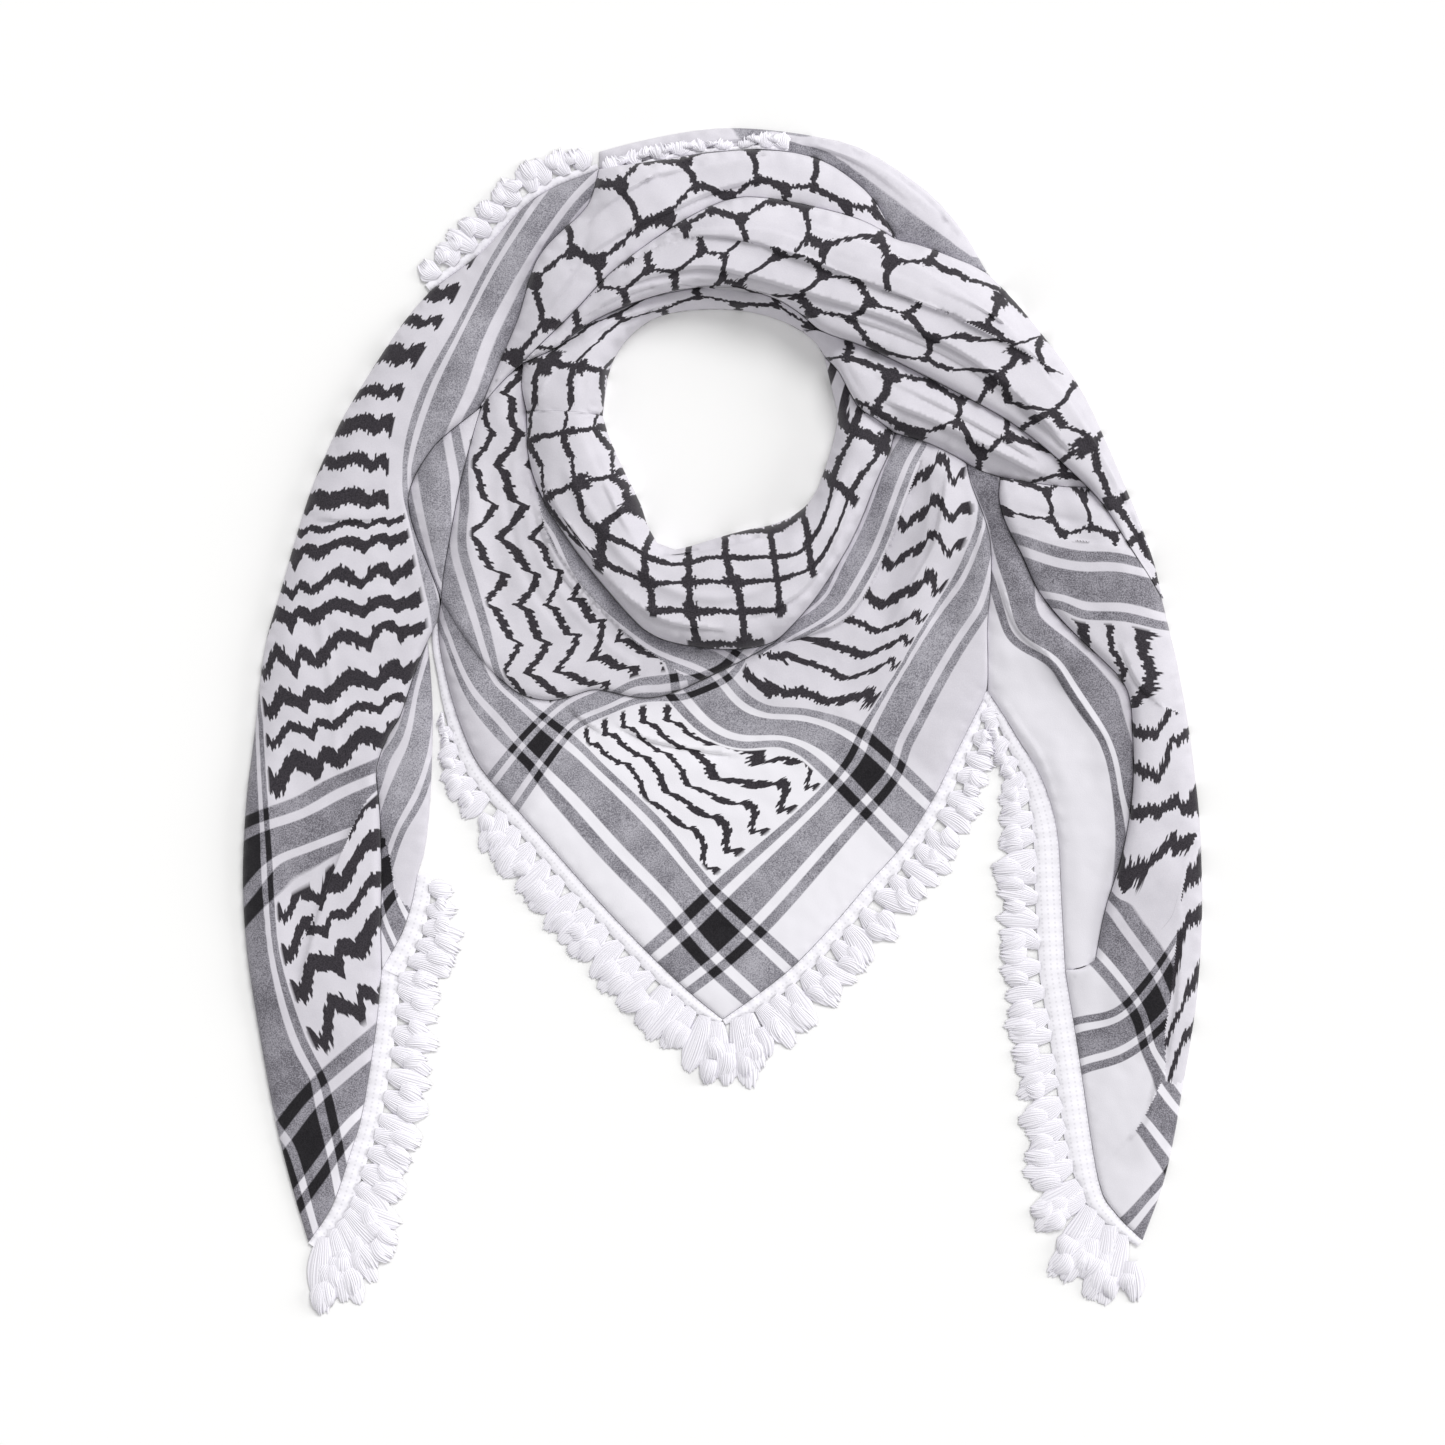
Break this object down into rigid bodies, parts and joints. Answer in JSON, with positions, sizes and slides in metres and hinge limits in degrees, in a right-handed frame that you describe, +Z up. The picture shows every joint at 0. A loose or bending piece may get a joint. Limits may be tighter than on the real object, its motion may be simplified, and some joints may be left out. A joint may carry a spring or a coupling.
{
  "type": "keffiyeh headscarf",
  "caption": "Square black-and-white keffiyeh headscarf, folded to a triangle, wound round an open neck hole and laid flat, with a pointed bib, tails and looped fringe.",
  "frame": {"origin": "middle of the scarf's footprint, on the surface that it lies on", "axes": "+Z up from the surface, +Y towards the back of the neck, -Y towards the point of the bib, +X towards the right tail as seen from above"},
  "size_m": [0.4818, 0.5912, 0.0373],
  "materials": {
    "cotton_cloth": "soft woven white cotton with grey twill stripes and black thread patterns",
    "cotton_fringe": "soft white cotton yarn, in a woven tape with loops"
  },
  "bodies": {
    "root": {"left_tail_front": "cotton_cloth", "left_tail_turn": "cotton_cloth", "left_tail_inner": "cotton_cloth", "bib_swag": "cotton_cloth", "bib_panel": "cotton_cloth", "front_roll": "cotton_cloth", "inner_winding": "cotton_cloth", "middle_winding": "cotton_cloth", "lower_winding": "cotton_cloth", "outer_winding": "cotton_cloth", "back_edge": "cotton_cloth", "right_tail_front": "cotton_cloth", "right_tail_inner": "cotton_cloth", "fringe_top_left": "cotton_fringe", "fringe_left_tail": "cotton_fringe", "fringe_bib_left": "cotton_fringe", "fringe_bib_right": "cotton_fringe", "fringe_right_tail": "cotton_fringe"}
  },
  "joints": []
}
